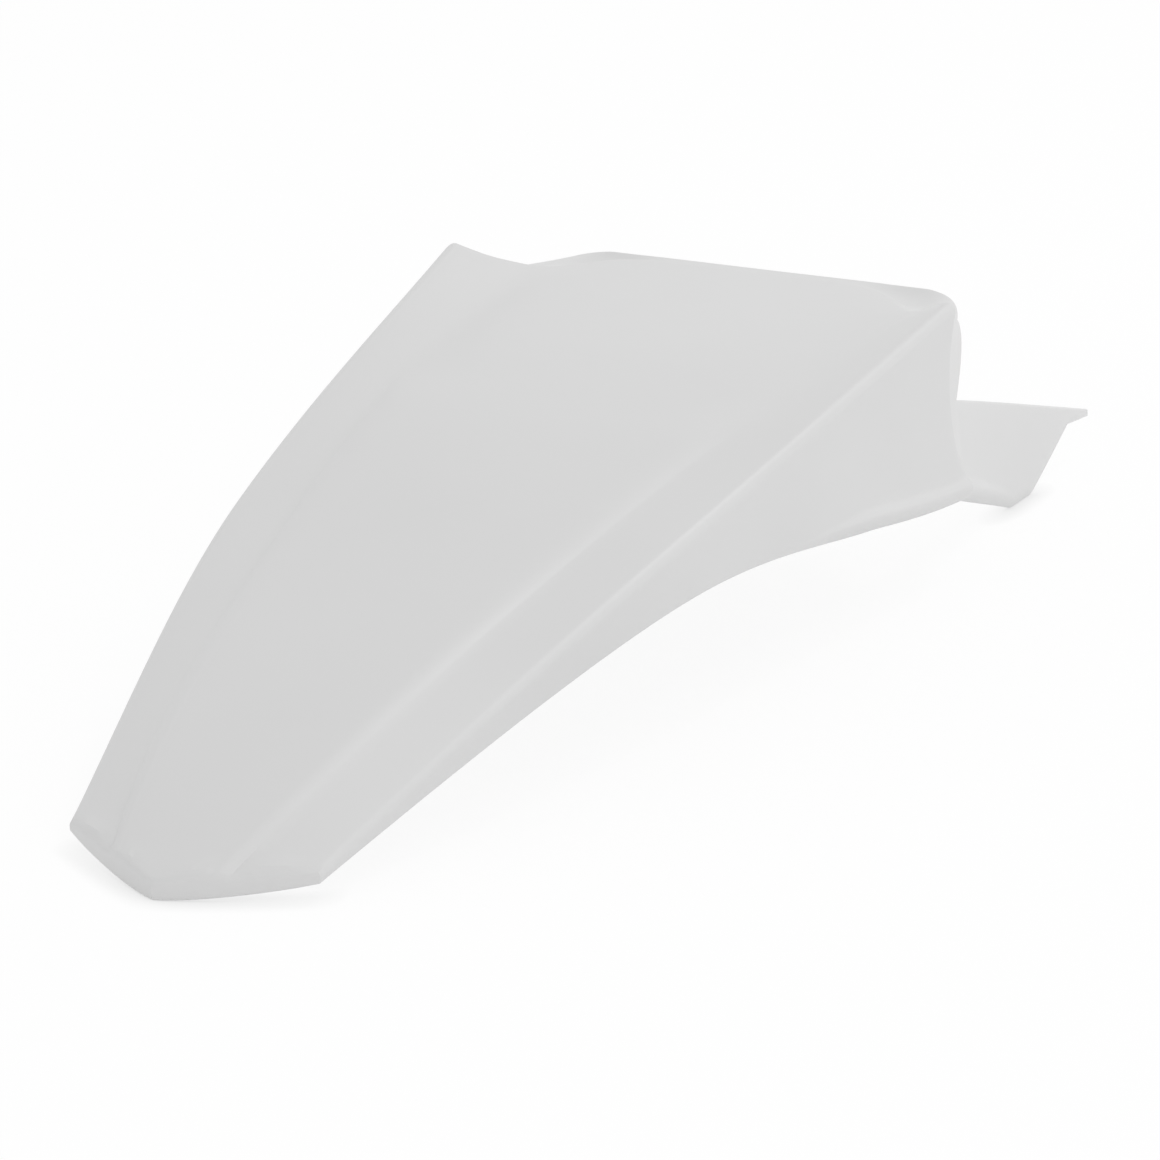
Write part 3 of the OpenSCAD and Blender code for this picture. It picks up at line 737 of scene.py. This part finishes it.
@dataclass
class FenderShell:
    """The moulded sheet with its wall, open edges and finish.

    Args:
        form: Surfaces that the sheet follows.
        name: Name of the object.
        column_steps: Grid columns in each part of the section, from the centre line out.
        skin_rows: Grid rows from the tail to the front line.
        fold_rows: Rows of the rounding at the front line.
        fold_r: How far that rounding reaches to either side.
        flange_rows: Rows of the flange.
        tab_steps: Rows between the marks along a tab.
        edge_r: Depth of the rounding on the open edges.
        edge_reach: How far from an open edge the sheet is drawn back for it.
        edge_cuts: Points across the rounding.
        edge_lines: Rows that a drawn-back line may cover at the tail and at the front.
    """

    form: FenderForm
    name: str = "fender_shell"
    column_steps: tuple[int, ...] = (16, 10, 5, 6, 15, 15)
    skin_rows: int = 120
    fold_rows: int = 6
    fold_r: float = 1.3
    flange_rows: int = 12
    tab_steps: tuple[int, ...] = (20, 6, 6, 6, 12, 1, 5)
    edge_r: float = 1.0
    edge_reach: float = 3.0
    edge_cuts: int = 7
    edge_lines: tuple[int, int] = (20, 14)
    columns: list[float] = field(default_factory=list)
    lip_places: list[float] = field(default_factory=list)
    stations: list[float] = field(default_factory=list)
    keys: list[tuple[int, int]] = field(default_factory=list)
    folds: list[list[Vector]] = field(default_factory=list)
    rim: list[tuple[Vector, Vector]] = field(default_factory=list)

    def build(self) -> bpy.types.Object:
        """Make the shell and return its object."""
        self._set_columns()
        obj = self._lay_grid()
        self._trim(obj)
        self._thicken(obj)
        self._smooth_inner_fold(obj)
        self._round_edges(obj)
        self._dress(obj)
        return obj

    def _set_columns(self) -> None:
        """Choose the columns of one half, from the centre line to the lower edge."""
        form = self.form
        skin = (0, form.ridge_col, form.band_col, form.crease_col)
        skirt = (form.wall_col, form.edge_col, form.last_col)
        self.columns = chain(skin + skirt, self.column_steps)
        self.lip_places = [c - form.crease_col for c in reversed(self.columns) if c > form.crease_col]

    def _flange_end(self) -> int:
        """Return the row of the flange's outer edge, from which the tabs go on."""
        return len(self.lip_places) + self.skin_rows + self.fold_rows + self.flange_rows + 1

    def _tab_stations(self) -> list[float]:
        """Return the places of the tab's sections along its lower edge."""
        form = self.form
        reach = form.foot_r * form.front_slope
        marks = (
            form.tab_low_root_x,
            form.foot_back_x - form.foot_r * form.tab_back_slope,
            form.foot_back_x,
            form.foot_x,
            form.foot_x + reach,
            form.finger_x - 0.6,
            form.finger_x + 0.6,
            form.overall_l,
        )
        return chain(marks, self.tab_steps)[1:]

    def _point(self, row: int, column: float) -> Vector:
        """Return the place of a grid point of the left half.

        Args:
            row: Row of the grid; the lip's rows come first, then skin, flange and tab.
            column: Column of the form, from the centre line out.

        Returns:
            The point in millimetres.
        """
        form = self.form
        if row < len(self.lip_places):
            return form.lip(min(column, form.crease_col), self.lip_places[row])
        row -= len(self.lip_places)
        if row < self.skin_rows:
            return form.sheet(row / self.skin_rows, column)
        row -= self.skin_rows
        if row <= self.fold_rows:
            return self._fold(row / self.fold_rows, column)
        row -= self.fold_rows + 1
        if row <= self.flange_rows:
            return form.flange(row / self.flange_rows, column)
        row -= self.flange_rows + 1
        return form.tab_point(self.stations[row], max(column, form.tab_col))

    def _fold(self, t: float, column: float) -> Vector:
        """Return a point of the skin's rounded front edge: t is 0 on the skin and 1 on the step."""
        form = self.form
        corner = form.sheet(1.0, column)
        before = form.sheet(1.0 - 1.0 / self.skin_rows, column)
        foot = form.flange(0.0, column)
        start = corner.lerp(before, self.fold_r / (before - corner).length)
        end = corner.lerp(foot, min(0.6, self.fold_r / (foot - corner).length))
        return arc2(start, corner, end, t)

    def _lay_grid(self) -> bpy.types.Object:
        """Add a grid and move its points onto the moulding's outer surface."""
        self.stations = self._tab_stations()
        half = len(self.columns) - 1
        rows, wide = self._flange_end() + len(self.stations) + 1, 2 * half + 1
        clear_selection()
        bpy.ops.mesh.primitive_grid_add(x_subdivisions=rows - 1, y_subdivisions=wide - 1, size=1)
        obj = bpy.context.object
        obj.name = self.name
        obj.data.name = self.name
        left = [[self._point(r, c) for c in self.columns] for r in range(rows)]
        self._draw_back(left)
        first = len(self.lip_places) + self.skin_rows - 1
        for side in Side:
            for j in range(half + 1):
                line = [left[first + k][j] for k in range(self.fold_rows + 3)]
                self.folds.append([self._placed(point, side) for point in line])
        for vertex in obj.data.vertices:
            r = round((vertex.co.x + 0.5) * (rows - 1))
            j = round((vertex.co.y + 0.5) * (wide - 1)) - half
            self.keys.append((r, j))
        for vertex, (r, j) in zip(obj.data.vertices, self.keys):
            vertex.co = self._placed(left[r][abs(j)], Side.RIGHT if j < 0 else Side.LEFT)
        return obj

    def _placed(self, p: Vector, side: Side) -> Vector:
        """Return a point of the left half in the frame, on one side and in metres."""
        return mirrored(p - Vector((self.form.overall_l / 2, 0, 0)), side)

    def _draw_back(self, left: list[list[Vector]]) -> None:
        """Pull the open edges in by edge_r along the sheet, to leave room for their rounding.

        Args:
            left: Grid points of the left half by row and column, changed in place.
        """
        form = self.form
        lip = len(self.lip_places)
        flange_end = self._flange_end()
        last_row, last = len(left) - 1, len(self.columns) - 1
        crease, tab = self.columns.index(form.crease_col), self.columns.index(form.tab_col)
        tail_steps, front_steps = self.edge_lines
        skirt, tabs = range(lip, flange_end + 1), range(flange_end + 1, last_row + 1)
        lines = [[(r, j) for r in range(lip + tail_steps)] for j in range(crease + 1)]
        lines += [[(flange_end - i, j) for i in range(front_steps)] for j in range(tab + 1)]
        lines += [[(last_row - i, j) for i in range(front_steps)] for j in range(tab, last + 1)]
        lines += [[(r, last - i) for i in range(last - crease + 1)] for r in skirt]
        lines += [[(r, last - i) for i in range(last - tab + 1)] for r in tabs]
        lines += [[(r, tab + i) for i in range(last - tab + 1)] for r in (flange_end, *tabs)]
        pulls: dict[tuple[int, int], Vector] = {}
        for line in lines:
            old = [left[r][j].copy() for r, j in line]
            new = self._shortened(old)
            pull = pulls.setdefault(line[0], Vector((0, 0, 0)))
            pull += old[0] - new[0]
            for (r, j), point in zip(line, new):
                left[r][j] = point
        for (r, j), pull in pulls.items():
            for side in Side:
                self.rim.append((self._placed(left[r][j], side), mirrored(pull, side)))

    def _shortened(self, line: list[Vector]) -> list[Vector]:
        """Return a line of points that starts edge_r further on and is unchanged past edge_reach."""
        gone = [0.0]
        for a, b in zip(line, line[1:]):
            gone.append(gone[-1] + (b - a).length)
        moved = []
        for at, point in zip(gone, line):
            if at >= self.edge_reach:
                moved.append(point)
                continue
            goal = self.edge_r + at * (self.edge_reach - self.edge_r) / self.edge_reach
            i = max(k for k in range(len(gone) - 1) if gone[k] <= goal)
            moved.append(line[i].lerp(line[i + 1], (goal - gone[i]) / (gone[i + 1] - gone[i])))
        return moved

    def _trim(self, obj: bpy.types.Object) -> None:
        """Delete the grid's unused corners and close the seam at the tail's corners."""
        form = self.form
        lip_rows = len(self.lip_places)
        tab_from = self._flange_end()
        make_active(obj)
        pick_nothing("FACE")
        for polygon in obj.data.polygons:
            keys = [self.keys[v] for v in polygon.vertices]
            low_row = min(r for r, _ in keys)
            high_row = max(r for r, _ in keys)
            inner = min(self.columns[abs(j)] for _, j in keys)
            outer = max(self.columns[abs(j)] for _, j in keys)
            corner = low_row < lip_rows and outer > form.crease_col
            beside_tab = high_row > tab_from and inner < form.tab_col
            polygon.select = corner or beside_tab
        bpy.ops.object.mode_set(mode="EDIT")
        bpy.ops.mesh.delete(type="FACE")
        bpy.ops.mesh.select_mode(type="VERT")
        bpy.ops.mesh.select_all(action="SELECT")
        bpy.ops.mesh.remove_doubles(threshold=0.00002)
        bpy.ops.mesh.normals_make_consistent(inside=False)
        bpy.ops.object.mode_set(mode="OBJECT")
        if sum(p.normal.z * p.area for p in obj.data.polygons) < 0:
            bpy.ops.object.mode_set(mode="EDIT")
            bpy.ops.mesh.select_all(action="SELECT")
            bpy.ops.mesh.flip_normals()
            bpy.ops.object.mode_set(mode="OBJECT")
        log.info("sheet: %d faces", len(obj.data.polygons))

    def _thicken(self, obj: bpy.types.Object) -> None:
        """Put the finishes on the sheet and give it its wall."""
        obj.data.materials.clear()
        for surface in Surface:
            obj.data.materials.append(FINISHES[surface].build())
        apply_modifier(
            obj,
            "Wall",
            "SOLIDIFY",
            thickness=self.form.wall * MM,
            offset=-1.0,
            use_even_offset=False,
            use_quality_normals=True,
            material_offset=SLOTS[Surface.HIDDEN],
            material_offset_rim=SLOTS[Surface.EDGE],
        )

    def _smooth_inner_fold(self, obj: bpy.types.Object) -> None:
        """Lay the hidden side of the front edge's rounding out evenly, where it has no room to turn."""
        vertices = obj.data.vertices
        outer = len(vertices) // 2
        tree = tree_of([vertex.co for vertex in vertices[:outer]])
        for line in self.folds:
            inner = [tree.find(point)[1] + outer for point in line]
            start, end = vertices[inner[0]].co.copy(), vertices[inner[-1]].co.copy()
            for k, i in enumerate(inner):
                vertices[i].co = start.lerp(end, k / (len(inner) - 1))

    def _round_edges(self, obj: bpy.types.Object) -> None:
        """Turn the flat rim between the wall's two sides into a round one."""
        mesh = obj.data
        tree = tree_of([place for place, _ in self.rim])
        uses: dict[tuple[int, int], int] = {}
        for polygon in mesh.polygons:
            if polygon.material_index == SLOTS[Surface.EDGE]:
                for key in polygon.edge_keys:
                    uses[key] = uses.get(key, 0) + 1
        cuts = self.edge_cuts
        places = []
        make_active(obj)
        pick_nothing("EDGE")
        for edge in mesh.edges:
            if uses.get(edge.key) != 2:
                continue
            edge.select = True
            ends = [mesh.vertices[v].co.copy() for v in edge.vertices]
            found = [tree.find(end) for end in ends]
            outer = 0 if found[0][2] < found[1][2] else 1
            pull = self.rim[found[outer][1]][1]
            start, end = ends[outer], ends[1 - outer]
            for k in range(1, cuts + 1):
                turn = math.pi * k / (cuts + 1)
                goal = start.lerp(end, (1 - math.cos(turn)) / 2) + pull * math.sin(turn)
                places.append((start.lerp(end, k / (cuts + 1)), goal))
        bpy.ops.object.mode_set(mode="EDIT")
        bpy.ops.mesh.subdivide(number_cuts=cuts)
        bpy.ops.object.mode_set(mode="OBJECT")
        tree = tree_of([place for place, _ in places])
        moved = 0
        for vertex in mesh.vertices:
            _, i, gap = tree.find(vertex.co)
            if gap < SAME_PLACE:
                vertex.co = places[i][1]
                moved += 1
        log.info("rim: %d of %d points placed", moved, len(places))
        make_active(obj)
        bpy.ops.object.shade_smooth_by_angle(angle=math.radians(SHELL_SMOOTHING))

    def _dress(self, obj: bpy.types.Object) -> None:
        """Report the shell to the frame."""
        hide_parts(NODE)
        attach(obj, ROOT)


@dataclass
class Fixings:
    """The bosses with their blind bores and the ribs, which end inside the wall of the bed."""

    form: FenderForm
    bolt_x: float = 420.0
    pitch: tuple[float, float] = (70.0, 80.0)
    insert_d: float = 8.0
    insert_l: float = 14.0
    boss_d: float = 17.0
    face_z: float = 88.0
    rib_t: float = 2.0
    rib_setback: float = 5.0
    rib_back: float = 80.0
    rib_draft: tuple[float, float] = (1.25, 0.85)
    edge_w: float = 0.35

    def build(self) -> list[bpy.types.Object]:
        """Make the bosses and ribs and return their objects."""
        xs = [self.bolt_x + i * self.pitch[0] / 2 for i in (-1, 1)]
        ys = [j.value * self.pitch[1] / 2 for j in Side]
        made = [self._boss(x, y, f"boss_{i}") for i, (x, y) in enumerate((x, y) for x in xs for y in ys)]
        low = self.face_z + self.rib_setback
        for i, x in enumerate(xs):
            made.append(self._rib((x, ys[0]), (x, ys[1]), low, low, f"cross_rib_{i}"))
        for i, y in enumerate(ys):
            start = (self.bolt_x - self.rib_back, y)
            made.append(self._rib(start, (xs[1], y), low + 8, low, f"long_rib_{i}"))
        finish = FINISHES[Surface.HIDDEN].build()
        for obj in made:
            obj.data.materials.clear()
            obj.data.materials.append(finish)
            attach(obj, ROOT)
        return made

    def _mid_wall(self, x: float, y: float) -> float:
        """Return the height of the middle of the wall above a place of the bed."""
        return self.form.bed_z(x, y) - self.form.wall / 2

    def _boss(self, x: float, y: float, name: str) -> bpy.types.Object:
        """Make one boss with its bore.

        Args:
            x: Place along the part.
            y: Place across it.
            name: Name of the object.

        Returns:
            The boss.
        """
        top = self._mid_wall(x, y)
        h = top - self.face_z
        clear_selection()
        bpy.ops.mesh.primitive_cylinder_add(vertices=64, radius=self.boss_d / 2 * MM, depth=h * MM)
        obj = bpy.context.object
        obj.name = name
        obj.data.name = name
        pick_nothing("FACE")
        for polygon in obj.data.polygons:
            polygon.select = polygon.normal.z < -0.9
        bpy.ops.object.mode_set(mode="EDIT")
        bpy.ops.mesh.inset(thickness=(self.boss_d - self.insert_d) / 2 * MM)
        bpy.ops.mesh.extrude_region_move(TRANSFORM_OT_translate={"value": (0, 0, self.insert_l * MM)})
        bpy.ops.object.mode_set(mode="OBJECT")
        shift = -self.form.overall_l / 2
        centre = Vector(((x + shift) * MM, y * MM, (self.face_z + h / 2) * MM))
        r = self.boss_d / 2 * MM
        for vertex in obj.data.vertices:
            on_rim = vertex.co.z > h / 2 * MM - SAME_PLACE and vertex.co.xy.length > r * 0.99
            vertex.co += centre
            if on_rim:
                vertex.co.z = self._mid_wall(vertex.co.x / MM - shift, vertex.co.y / MM) * MM
        edge = {"width": self.edge_w * MM, "segments": 2, "limit_method": "ANGLE", "angle_limit": 1.0}
        apply_modifier(obj, "Edge", "BEVEL", **edge)
        bpy.ops.object.shade_smooth_by_angle(angle=math.radians(FIXING_SMOOTHING))
        return obj

    def _rib(
        self, a: tuple[float, float], b: tuple[float, float], low_a: float, low_b: float, name: str
    ) -> bpy.types.Object:
        """Make one rib whose top follows the middle of the wall.

        Args:
            a: Plan point where the rib starts.
            b: Plan point where it ends.
            low_a: Height of its lower edge at the start.
            low_b: Height of its lower edge at the end.
            name: Name of the object.

        Returns:
            The rib.
        """
        clear_selection()
        bpy.ops.mesh.primitive_cube_add(size=1)
        obj = bpy.context.object
        obj.name = name
        obj.data.name = name
        bpy.ops.object.mode_set(mode="EDIT")
        bpy.ops.mesh.select_all(action="SELECT")
        bpy.ops.mesh.subdivide(number_cuts=15)
        bpy.ops.object.mode_set(mode="OBJECT")
        start, end = Vector(a), Vector(b)
        along = (end - start).normalized()
        across = Vector((-along.y, along.x))
        shift = -self.form.overall_l / 2
        for vertex in obj.data.vertices:
            t, s, up = vertex.co.x + 0.5, vertex.co.y, vertex.co.z + 0.5
            plan = start.lerp(end, t) + across * (s * self.rib_t * mix(*self.rib_draft, 1 - up))
            low = mix(low_a, low_b, t)
            z = mix(low, self._mid_wall(plan.x, plan.y), up)
            vertex.co = Vector((plan.x + shift, plan.y, z)) * MM
        make_active(obj)
        bpy.ops.object.shade_smooth_by_angle(angle=math.radians(FIXING_SMOOTHING))
        return obj


@dataclass
class Studio:
    """Camera, lamps, white surroundings and the floor; lamps, aim and floor_w are in metres."""

    form: FenderForm
    camera_at: tuple[float, float, float] = (-969.8, -669.1, 501.9)
    heading: float = 27.454
    dip: float = 18.278
    focal_px: float = 3700.0
    frame_px: float = 1160.0
    sensor_w: float = 36.0
    aim: tuple[float, float, float] = (0.0, 0.0, 0.06)
    wall_light: float = 1.05
    sky_light: float = 0.72
    back_light: float = 0.86
    floor_color: float = 0.96
    floor_roughness: float = 0.9
    floor_w: float = 30.0
    floor_glow: float = 0.92
    # Reach and depth of the painted contact shadow in the floor's glow.
    contact_reach: float = 10.0
    contact_shade: float = 0.3
    lamps: tuple = (
        ("key", (1.34, -0.8, 2.8), 12.0, 0.6),
        ("crease", (0.2, -1.5, 2.4), 4.6, 0.5),
        ("side", (-1.4, -2.4, 0.7), 4.4, 1.4),
    )

    def build(self) -> None:
        """Set up everything round the part."""
        self._camera()
        self._world()
        for name, place, power, size in self.lamps:
            self._lamp(name, place, power, size)
        self._floor()
        bpy.context.scene.view_settings.view_transform = "Standard"

    def _camera(self) -> None:
        """Add the camera at the photograph's viewpoint."""
        data = bpy.data.cameras.new("Camera")
        data.sensor_width = self.sensor_w
        data.lens = self.focal_px / self.frame_px * self.sensor_w
        data.clip_end = 50.0
        camera = bpy.data.objects.new("Camera", data)
        x, y, z = self.camera_at
        camera.location = ((x - self.form.overall_l / 2) * MM, y * MM, z * MM)
        turn = (math.radians(90 - self.dip), 0.0, math.radians(self.heading - 90))
        camera.rotation_euler = Euler(turn)
        bpy.context.collection.objects.link(camera)
        bpy.context.scene.camera = camera

    def _world(self) -> None:
        """Make a white tent, paler at its walls: full white to the eye and in reflections."""
        world = bpy.data.worlds.new("White room")
        bpy.context.scene.world = world
        world.use_nodes = True
        tree = world.node_tree
        back = tree.nodes["Background"]
        back.inputs["Color"].default_value = (1, 1, 1, 1)
        place = add_node(tree, "TexCoord")
        split = add_node(tree, "SeparateXYZ", {"Vector": place.outputs["Generated"]})
        values = {"Value": split.outputs["Z"], "To Min": self.wall_light, "To Max": self.sky_light}
        room = add_node(tree, "MapRange", values)
        reach = {"From Min": -1.0, "From Max": 0.2, "To Min": self.back_light}
        behind = add_node(tree, "MapRange", {"Value": split.outputs["X"], **reach})
        values = {0: room.outputs["Result"], 1: behind.outputs["Result"]}
        dimmed = add_node(tree, "Math", values, operation="MULTIPLY")
        values = {"Factor": seen_directly(tree), "A": dimmed.outputs["Value"], "B": 1.0}
        level = add_node(tree, "Mix", values)
        tree.links.new(level.outputs["Result"], back.inputs["Strength"])

    def _lamp(self, name: str, place: tuple[float, float, float], power: float, size: float) -> None:
        """Add one soft square lamp that faces the part.

        Args:
            name: Name of the lamp.
            place: Place in metres.
            power: Power in watts.
            size: Width of the lamp in metres.
        """
        data = bpy.data.lights.new(name, "AREA")
        data.energy = power
        data.size = size
        lamp = bpy.data.objects.new(name, data)
        lamp.location = place
        lamp.rotation_euler = (Vector(self.aim) - Vector(place)).to_track_quat("-Z", "Y").to_euler()
        bpy.context.collection.objects.link(lamp)

    def _floor(self) -> None:
        """Add the floor: white to the eye and in reflections. Its glow carries a painted contact shadow
        where the part stands, and its diffuse share carries the part's real shadow.
        """
        clear_selection()
        bpy.ops.mesh.primitive_plane_add(size=self.floor_w)
        floor = bpy.context.object
        floor.name = "floor"
        finish = bpy.data.materials.new("White floor")
        finish.use_nodes = True
        tree = finish.node_tree
        shader = tree.nodes["Principled BSDF"]
        shader.inputs["Base Color"].default_value = (*[self.floor_color] * 3, 1)
        shader.inputs["Roughness"].default_value = self.floor_roughness
        # Painted contact shadow: ambient occlusion within contact_reach darkens the floor's glow by up to
        # contact_shade.
        near = add_node(tree, "AmbientOcclusion", {"Distance": self.contact_reach * MM})
        values = {"Value": near.outputs["AO"], "To Min": 1.0 - self.contact_shade}
        painted_contact_shadow = add_node(tree, "MapRange", values)
        glow = add_node(tree, "Emission", {"Strength": painted_contact_shadow.outputs["Result"]})
        values = {0: seen_directly(tree), 1: self.floor_glow}
        share = add_node(tree, "Math", values, operation="MULTIPLY")
        values = {0: share.outputs["Value"], 1: shader.outputs["BSDF"], 2: glow.outputs["Emission"]}
        blend = add_node(tree, "MixShader", values)
        tree.links.new(blend.outputs["Shader"], tree.nodes["Material Output"].inputs["Surface"])
        floor.data.materials.append(finish)


def seen_directly(tree: bpy.types.NodeTree) -> bpy.types.NodeSocket:
    """Return a socket that is 1 for camera, glossy and transmission rays and 0 for the rest."""
    path = add_node(tree, "LightPath")
    value = path.outputs["Is Camera Ray"]
    for label in ("Is Glossy Ray", "Is Transmission Ray"):
        either = add_node(tree, "Math", {0: value, 1: path.outputs[label]}, operation="MAXIMUM")
        value = either.outputs["Value"]
    return value


def main() -> None:
    """Build the fender and its studio, and report each piece."""
    logging.basicConfig(level=logging.INFO, format="%(name)s: %(message)s")
    form = FenderForm()
    shell = FenderShell(form).build()
    log.info("%s: %d faces", shell.name, len(shell.data.polygons))
    for piece in Fixings(form).build():
        log.info("%s: %d faces", piece.name, len(piece.data.polygons))
    Studio(form).build()


if __name__ == "__main__":
    main()
